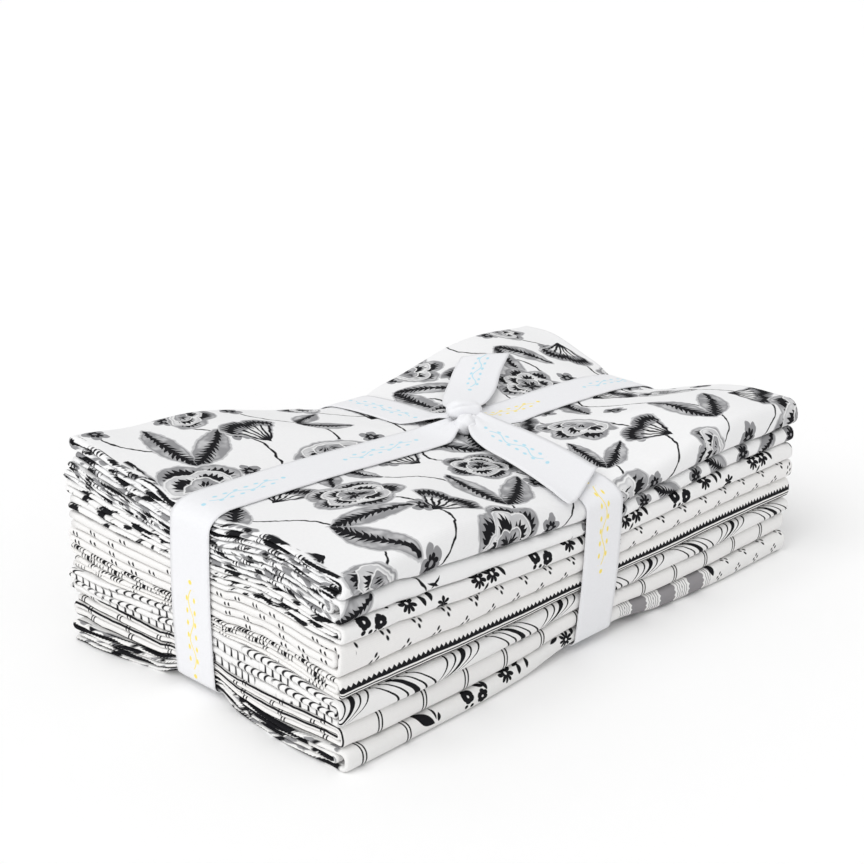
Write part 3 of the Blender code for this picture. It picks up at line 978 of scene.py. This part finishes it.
class Print:
    """A material for printed cloth: the bare cloth, inks laid over it in turn, and the weave."""

    def __init__(self, name, tint, wander_mm=0.3, roughness=0.9, shine=0.08, threads=2.6, weave=0.5):
        self.tint = tint
        self.material = bpy.data.materials.new(name)
        self.material.use_nodes = True
        self.tree = self.material.node_tree
        self.shader = self.tree.nodes["Principled BSDF"]
        self.shader.inputs["Roughness"].default_value = roughness
        self.shader.inputs["Specular IOR Level"].default_value = shine
        self.flat = placed(self.tree, "ShaderNodeUVMap", {}, uv_map="flat_cloth").outputs[0]
        drawn = self.group(HAND_DRAWN, {"Wander": wander_mm}).outputs
        self.along, self.across = Field(self.tree, drawn["Along"]), Field(self.tree, drawn["Across"])
        woven = self.group(WEAVE, {"Threads per mm": threads}).outputs
        relief = {"Strength": weave, "Distance": THREAD_HEIGHT, "Height": woven["Height"]}
        bump = placed(self.tree, "ShaderNodeBump", relief)
        self.tree.links.new(bump.outputs[0], self.shader.inputs["Normal"])
        # the weave's tone, slubs plus painted shade between the threads, is multiplied into the bare cloth
        shaded = {0: 1, 6: (*tint, 1), 7: woven["Shade"]}
        cloth = placed(self.tree, "ShaderNodeMix", shaded, data_type="RGBA", blend_type="MULTIPLY")
        self.colour = cloth.outputs[2]

    def group(self, group, values):
        return placed(self.tree, "ShaderNodeGroup", {"Flat cloth": self.flat, **values}, node_tree=group)

    def ink(self, mask, colour):
        """Lays an ink over what is there where the mask says."""
        inputs = {0: mask, 6: self.colour, 7: (*colour, 1)}
        self.colour = placed(self.tree, "ShaderNodeMix", inputs, data_type="RGBA").outputs[2]

    def marks(self, *values):
        """The marks on the folded ends, from one value for each title in MARKS."""
        shown = self.group(FOLD_MARKS, dict(zip(MARKS, values))).outputs
        for title, colour in (("Bare", self.tint), ("Grey", GREY), ("Black", BLACK)):
            self.ink(Field(self.tree, shown[title]), colour)

    def wash(self):
        """A watery tone that comes and goes over the cloth."""
        clouds = Field(self.tree, cloudy(self.tree, self.flat, 170, 2))
        return (clouds - 0.44).math("MULTIPLY", 5.0, clamp=True)

    def done(self):
        self.tree.links.new(self.colour, self.shader.inputs["Base Color"])
        return self.material


def dot_clusters(x, y, up, shift):
    """Four short slanting dashes round a point every half inch, in rows that slant one way and the other.

    up is the way up, 1 or -1. On the folded end a few of them lie squarely across the fold.
    """
    p, q, column, row = cells(x, y, INCH / 2, 4.7, shift)
    q = q * (row.modulo(2.0) * (-2 * up) + up)
    p, q = rotated(p, q, -42)
    kept = (abs(x) - 7.0).above(0.0)
    clusters = inked(hypot((abs(p) - 0.98) * 0.66, abs(q) - 0.72) - 0.43) * kept
    p, q, column, row = cells(y + x * 0.5, x, 9.4, 60.0, 0.0, (2.0, 30.0))
    here = chance(column, row, 3.0).above(0.5)
    return either(clusters, inked(hypot(abs(p) - 0.95, abs(q) - 0.8) - 0.46) * here)


def charted(x, y, flowers=(), leaves=(), dots=()):
    """Small flowers, leaves and dots, each at its place on the cloth."""
    shapes = [blossom(x - place, y - height, *shape)[0] for place, height, *shape in flowers]
    shapes += [inked(turned_leaf(x - place, y - height, *shape)) for place, height, *shape in leaves]
    shapes += [inked(hypot(x - place, y - height) - radius) for place, height, radius in dots]
    return either(*shapes)


def end_fan(x, y, start):
    """Five bowed lines, the middle one thick, where a fan crosses the folded end."""
    p = repeat(y + x * x * 0.45 + start, 14.0)
    lines = inked(abs(repeat(p + 0.85, 1.7)) - 0.26) * within(p, -3.9, 3.9)
    return either(lines, within(p, -0.75, 0.75)) * inked(abs(x) - 1.6, 0.3)


def small_flowers(made, lattice, seeds, missing, outer, heart):
    """Small grey flowers with a black heart, each turned its own way, and some left out."""
    p, q, column, row = cells(made.along, made.across, *lattice)
    here = chance(column, row, seeds[0]).above(missing)
    p, q = rotated(p, q, any_turn(column, row, seeds[1]))
    made.ink(blossom(p, q, *outer)[1] * here, GREY)
    made.ink(blossom(p, q, *heart)[0] * here, BLACK)


def feathered_leaf(made, wash, p, q, shape, rib, pitch, teeth, inset, wash_inset):
    """A grey leaf with a pale edge and a black rib that is combed on both sides."""
    edge, share, across = leaf(p, q, *shape)
    made.ink(inked(edge - 0.6, 0.4), PALE)
    made.ink(inked(edge), GREY)
    made.ink(inked(edge + wash_inset, 0.6) * wash, PALE)
    feathers = combed(p + abs(across) * 0.8, pitch) * (1 - share) * teeth
    made.ink(inked(abs(across) - rib - feathers).least(inked(edge + inset)), BLACK)


BLOOMS_APART = (58.0, 44.0, 0.5)


def large_floral():
    """The top cut: layered blooms, bells, leaves and small flowers on bending stems, in greys and black."""
    made = Print("cotton_large_floral", CUTS[7].tint, wander_mm=1.0)
    x, y = made.along, made.across
    wash = made.wash()

    # bending stems that run between the blooms
    line = x - (y / 12.0).sin() * 9 - (y / 5.1).sin() * 1.6
    made.ink(inked(abs(repeat(line, 30.0)) - 0.5, 0.3), BLACK)

    lattice = (29.0, 22.0, 0.5, (7.0, 13.0))
    small_flowers(made, lattice, (12.0, 13.0), 0.2, (4.8, 5, 0.36), (2.8, 7, 0.45, 0.8))

    # feathered leaves in pairs
    p, q, column, row = cells(x, y, *BLOOMS_APART, (0.0, 2.0))
    size = chance(column, row, 6.0) * 0.5 + 0.75
    p, q = rotated(p, q, any_turn(column, row, 5.0))
    p, q = rotated(p / size + 11, abs(q / size), 26)
    feathered_leaf(made, wash, p, q, (26.0, 9.4, 1.2), 0.55, 1.8, 3.4, 0.3, 0.6)

    # bells: a fan of ribs under a black scalloped hem
    p, q, column, row = cells(x, y, *BLOOMS_APART, (29.0, 4.0))
    p, q = rotated(p, q, any_turn(column, row, 9.0))
    p = p + 7
    from_foot, opening = hypot(p, q), q.turn_from(p)
    hem = from_foot - 16.0 - abs((opening * 3.4).sin()) * 2.6
    bell = hem.most(abs(opening) * 11 - 8.2)
    made.ink(inked(bell - 0.6, 0.4), PALE)
    made.ink(inked(bell), GREY)
    made.ink(within(from_foot, 4.5, 10.5, 1.0).least(inked(bell + 0.8)), WHITE_INK)
    ribs = inked(abs(repeat(opening, 0.26)) * from_foot - 0.42) * within(from_foot, 2.0, 11.5)
    dark_hem = within(hem + combed(opening * 16, 1.6) * 2.4, -4.4, -0.4)
    made.ink(either(ribs, dark_hem, inked(from_foot - 3.6)).least(inked(bell)), BLACK)

    # blooms: rings of petals, each black and combed at its foot. Some are seen from the side, as a round cup.
    p, q, column, row = cells(x, y, *BLOOMS_APART, (14.0, 24.0))
    size = chance(column, row, 10.0) * 0.36 + 0.84
    whole = chance(column, row, 14.0).above(0.5)
    p, q = rotated(p / size, q / size * 1.15, any_turn(column, row, 8.0))
    from_middle, angle = hypot(p, q + 2.5), (q + 2.5).turn_from(p)
    petals = (chance(column, row, 15.0) * 3).floor() + 5
    rings = ((13.0, 0, 3.4, GREY), (8.8, 1, 2.8, PALE), (4.6, 2, 1.9, GREY))
    for ring, (radius, fewer, reach, fill) in enumerate(rings):
        lobe = abs((angle * (petals - fewer) * 0.5).sin())
        cup = hypot(p * 0.8, q - 7.5) - 13.0 + ring * 1.3
        edge = (from_middle - (lobe * reach + radius)).most(cup - whole * 90)
        made.ink(inked(edge - 0.6, 0.4), WHITE_INK if ring else PALE)
        made.ink(inked(edge), fill)
        made.ink(inked(edge + 0.5, 0.6) * wash, WHITE_INK if ring == 1 else PALE)
        made.ink(within(edge + combed(angle * radius, 1.7) * 2.0 + (1 - lobe) * 1.2, -5.2, -1.2), BLACK)
    made.marks(1.5, 0.5, -1.2, 1.2, 0.15, 9.0, 0.40, 10.0, 0.45, 0.42, 0.64, 1.0)
    return made.done()


def leaf_stems():
    """The second cut: leaves and small flowers along wavy stems, in greys and black."""
    made = Print("cotton_leaf_stems", CUTS[6].tint, wander_mm=0.6)
    x, y = made.along, made.across
    wash = made.wash()
    line = y - (x / 9.0).sin() * 3.4 - (x / 3.4).sin() * 0.8
    made.ink(inked(abs(repeat(line, 15.0)) - 0.3), BLACK)
    p, q, column, row = cells(x, y, 31.0, 12.0, 0.5, (9.0, 6.0))
    p, q = rotated(p, q, chance(column, row, 4.0) * 1.4 - 0.7)
    feathered_leaf(made, wash, p + 8, q, (15.0, 7.5, 0.8), 0.45, 1.6, 2.6, 0.0, 0.5)
    lattice = (31.0, 12.0, 0.5, (24.0, 6.0))
    small_flowers(made, lattice, (7.0, 6.0), 0.3, (4.2, 5, 0.4), (2.8, 8, 0.5, 0.5))

    # left of the crosswise ribbon the front shows the bare cloth, with a few twigs
    made.ink(within(x, 15.0, 106.0).least(within(y, -6.0, 6.0)), made.tint)
    twigs = ((33.5, -1.0, 52, 8.0, 1.0), (38.4, 0.5, 22, 5.5, 0.9), (39.6, 0.2, -38, 4.4, 0.9))
    made.ink(charted(x, y, leaves=twigs), BLACK)
    made.marks(1.6, 0.5, -1.2, 1.2, 0.15, 9.0, 0.40, 9.0, 0.44, 0.43, 0.70, 2.0)
    return made.done()


def daisy_print():
    """Small black daisies, round flowers and leaves, in staggered rows."""
    made = Print("cotton_daisies", CUTS[5].tint, wander_mm=0.25)
    p, q, _, _ = cells(made.along, made.across, 78.2, 13.0, 0.5, (-2.2, 6.5))
    flowers = (
        (-32.6, 2.4, 2.5, 5, 0.16, 0.4), (-26.6, 0.5, 2.6, 6, 0.16, 0.4), (-14.4, 3.1, 3.5, 9, 0.6, 0.5),
        (0.0, -1.1, 2.8, 6, 0.8, 0.0), (16.9, 2.5, 3.3, 9, 0.6, 0.5), (23.3, 2.6, 3.3, 8, 0.6, 0.5),
    )
    leaves = (
        (-8.0, 2.6, 95, 4.0, 1.8), (-4.7, 3.2, 78, 3.9, 1.8), (28.2, 2.5, 118, 4.4, 1.6),
        (19.9, -0.9, 55, 3.2, 1.2),
    )
    dots = ((-33.5, -0.8, 0.95), (-30.5, -1.3, 0.8), (-28.4, -2.0, 0.6), (-21.5, 4.2, 0.6))
    made.ink(charted(p, q, flowers, leaves, dots), BLACK)
    made.marks(2.6, 0.7, -1.2, 1.2, 0.15, 6.0, 0.30, 8.0, 0.45, 0.0, 0.8, 3.0)
    return made.done()


def small_dots():
    made = Print("cotton_small_dots", CUTS[4].tint, wander_mm=0.2)
    x, y = made.along, made.across
    made.ink(dot_clusters(x + 0.85, y + x * 0.0025 + 4.85, -1, 0.36), BLACK)
    return made.done()


def sawtooth_border():
    """A black sawtooth band with two thin lines under it, along the cloth."""
    made = Print("cotton_sawtooth_border", CUTS[3].tint, wander_mm=0.1)
    x, y = made.along, made.across
    height = repeat(y + 13.25, 27.0)
    teeth = abs(repeat(x, 2.0)) * 0.9
    band = within(height, -0.85, 1.6, 0.12).least(inked(height + teeth - 1.0, 0.12))
    lines = [inked(abs(height + place) - half, 0.12) for place, half in ((1.58, 0.2), (2.5, 0.32))]
    made.ink(either(band, *lines), BLACK)
    made.marks(1.5, 0.6, -0.6, 1.5, 0.15, 9.0, 0.46, 4.0, 0.0, 0.0, 1.4, 5.0)
    made.ink(end_fan(x, y, 3.0) * within(y, 4.0, 262.0), BLACK)
    return made.done()


def arcs():
    """Fans of five bent lines, the middle one thick, which lean one way and the other in turn."""
    made = Print("cotton_arcs", CUTS[2].tint, wander_mm=0.15)
    x, y = made.along, made.across
    up = ((repeat(y + 7.2, 14.4) + 3.6) / 7.2).most(0.0).least(1.0)
    low = (1 - up) * (1 - up)
    by_corner = x - (1 - x / 25.0).most(0.0) * 6.5  # the first fan lies closer to the corner
    leaning_left = (by_corner - 0.8 + low * 12.9, 1 - low * 0.75)
    leaning_right = (x - 20.9 - (1 - up * up) * 10.3, 1.03 - up * 0.09)
    masks = []
    for place, spread in (leaning_left, leaning_right):
        fan = repeat(place + INCH, 2 * INCH) / spread
        lines = inked(abs(repeat(fan + 1.925, 3.85)) - 0.44, 0.16) * within(fan, -8.4, 8.4, 0.2)
        masks += [lines, within(fan, -1.2, 1.2)]
    made.ink(either(*masks), BLACK)
    made.marks(3.6, 0.36, -1.7, 1.9, 0.9, 22.0, 0.55, 4.0, 0.0, 0.0, 1.4, 6.0)
    return made.done()


def line_pairs(value):
    """Pairs of thin lines, three quarters of an inch apart."""
    return inked(abs(abs(repeat(value, 0.75 * INCH)) - 0.70) - 0.31, 0.16)


def pin_lines():
    """Pairs of thin lines along and across the cloth, as a wide check."""
    made = Print("cotton_pin_lines", CUTS[1].tint, wander_mm=0.12)
    x, y = made.along, made.across
    made.ink(either(line_pairs(x + 12.8), line_pairs(y), within(x, 0.2, 0.8, 0.15)), BLACK)
    return made.done()


def mixed_print():
    """The bottom cut: bands of its print follow each other along the front."""
    made = Print("cotton_mixed_print", CUTS[0].tint, wander_mm=0.2)
    x, y = made.along, made.across
    lines = line_pairs(x + 2.4) * within(x, 2.0, 30.0)
    flowers = (
        (53.6, 2.7, 2.6, 5, 0.16, 0.4), (60.0, 0.4, 2.6, 6, 0.2, 0.5), (73.1, 3.3, 3.5, 9, 0.6, 0.5),
        (105.2, 1.1, 3.3, 9, 0.6, 0.5),
    )
    leaves = (
        (34.0, 2.6, -42, 9.6, 3.8, -0.5), (38.0, 3.0, -84, 4.4, 1.0), (39.5, 1.2, 80, 3.2, 1.5),
        (60.2, 4.3, -35, 3.8, 1.7), (62.3, 3.6, 95, 3.6, 1.7), (79.6, 4.3, 15, 4.0, 1.5),
        (79.6, 2.3, 80, 3.8, 1.8), (84.0, 2.6, 75, 3.4, 1.6), (99.6, 3.1, 8, 4.6, 1.2),
        (109.2, 3.2, 60, 3.4, 1.6), (190.6, 3.6, -75, 5.4, 3.2),
    )
    dots = ((52.2, -0.7, 0.8), (54.9, -1.2, 0.8))
    made.ink(either(lines, charted(x, y, flowers, leaves, dots)), BLACK)
    made.ink(dot_clusters(x + 8.3, y - 1.9, 1, 0.47) * within(x, 193.0, 262.0), BLACK)

    # grey bands with scalloped edges and thin lines between them, right of the ribbon
    band_at = repeat(x - 138.8, 16.8)
    scallop = abs((y * (math.pi / 1.9)).sin()) * 0.7
    banded = within(x, 135.0, 189.5)
    made.ink(inked(abs(band_at) - 3.9 - scallop) * banded, (0.30, 0.29, 0.30))
    thin = inked(abs(repeat(abs(band_at) - scallop * 0.4 - 5.1, 1.25)) - 0.2, 0.2)
    made.ink(thin * within(abs(band_at), 5.1, 8.6) * banded, (0.36, 0.35, 0.36))
    made.marks(9.0, 0.85, -1.2, 1.2, 0.15, 12.0, 0.38, 22.0, 0.52, 0.40, 0.74, 8.0)
    return made.done()


PALE_BLUE = (0.44, 0.74, 0.86)
YELLOW = (0.95, 0.76, 0.12)
SPRIGS = ((38.0, PALE_BLUE), (100.0, PALE_BLUE), (162.0, YELLOW))
SPRIG_REPEAT = 186.0


def satin_ribbon():
    """White satin ribbon with a small generic sprig now and then, in pale blue or in yellow."""
    finish = {"roughness": 0.5, "shine": 0.35, "threads": 3.4, "weave": 0.25}
    made = Print("ribbon_satin", (0.865, 0.868, 0.89), wander_mm=0.2, **finish)
    apart = placed(made.tree, "ShaderNodeSeparateXYZ", {0: made.flat})
    x, y = Field(made.tree, apart.outputs[0]) * 1000, made.across
    for middle, colour in SPRIGS:
        p = repeat(x - middle + SPRIG_REPEAT / 2, SPRIG_REPEAT)
        vine = inked(abs(y - (p / 2.2).sin() * 1.1) - 0.22, 0.3)
        leaves = inked(hypot(repeat(p, 4.4) * 0.55, abs(y) - 1.8) - 0.52, 0.3)
        bud = inked(hypot(abs(p) - 17.0, y) - 0.8, 0.3)
        made.ink(either(either(vine, leaves) * within(p, -14.5, 14.5), bud), colour)
    made.shader.inputs["Sheen Weight"].default_value = 0.1
    return made.done()


# Building the pieces

PRINTS = (mixed_print, pin_lines, arcs, sawtooth_border, small_dots, daisy_print, leaf_stems, large_floral)
for index, cut in enumerate(CUTS):
    folded_cut(cut, EDGE_HEIGHTS[index], index, PRINTS[index]())

satin = satin_ribbon()
lengthwise_band(satin)
crosswise_band(satin)
tail("ribbon_tail_front", "tail_front", FRONT_TAIL, satin, 11 * MM)
tail("ribbon_tail_back", "tail_back", BACK_TAIL, satin, -6 * MM)
knot(satin)


# The floor, the lights and the camera

FLOOR_SIZE = 4.0
FLOOR_DEPTH = 0.2 * MM  # a little below the lowest cloth
PAPER_WHITE = 0.98
TENT_LIGHT = 0.74
TENT_SEEN = 1.0  # past the floor's edge it looks as white as the floor
LAMP_LIGHT = 1.22
LAMP_FROM = Vector((-0.85, -0.04, 1.0))


def studio_floor():
    """A sheet of white paper."""
    mesh = bpy.data.meshes.new("floor")
    shape = bmesh.new()
    bmesh.ops.create_grid(shape, x_segments=1, y_segments=1, size=FLOOR_SIZE)
    bmesh.ops.translate(shape, verts=shape.verts[:], vec=(0, 0, -FLOOR_DEPTH))
    shape.to_mesh(mesh)
    shape.free()
    paper = bpy.data.materials.new("paper_floor")
    paper.use_nodes = True
    finish = paper.node_tree.nodes["Principled BSDF"].inputs
    finish["Base Color"].default_value = (PAPER_WHITE, PAPER_WHITE, PAPER_WHITE, 1)
    finish["Roughness"].default_value = 0.95
    mesh.materials.append(paper)
    floor = bpy.data.objects.new("floor", mesh)
    bpy.context.collection.objects.link(floor)


def studio():
    """A white tent of light, and one broad soft lamp from above on the left."""
    studio_floor()
    world = bpy.data.worlds.new("studio")
    world.use_nodes = True
    tree = world.node_tree
    tent = tree.nodes["Background"].inputs
    tent["Color"].default_value = (1, 1, 1, 1)
    seen = Field(tree, tree.nodes.new("ShaderNodeLightPath").outputs["Is Camera Ray"])
    strength = seen * (TENT_SEEN - TENT_LIGHT) + TENT_LIGHT
    tree.links.new(strength.socket, tent["Strength"])
    bpy.context.scene.world = world
    data = bpy.data.lights.new("soft_lamp", "SUN")
    data.energy = LAMP_LIGHT
    data.angle = math.radians(50)
    lamp = bpy.data.objects.new("soft_lamp", data)
    lamp.rotation_euler = LAMP_FROM.to_track_quat("Z", "Y").to_euler()
    bpy.context.collection.objects.link(lamp)
    bpy.context.scene.view_settings.view_transform = "Standard"


def camera():
    """The camera that the photograph was fitted to: its right, down and forward directions and its place."""
    right = Vector((0.69366, -0.72026, 0.00780))
    down = Vector((-0.25112, -0.25197, -0.93459))
    forward = Vector((0.67511, 0.64633, -0.35565))
    data = bpy.data.cameras.new("camera")
    data.lens = 78.23
    data.sensor_width = 36
    data.clip_start = 0.01
    data.clip_end = 20
    eye = bpy.data.objects.new("camera", data)
    turn = Matrix((right, -down, -forward)).transposed()
    place = STACK_CORNER + Vector((-0.33881, -0.35902, 0.29793))
    eye.matrix_world = Matrix.Translation(place) @ turn.to_4x4()
    bpy.context.collection.objects.link(eye)
    bpy.context.scene.camera = eye


studio()
camera()
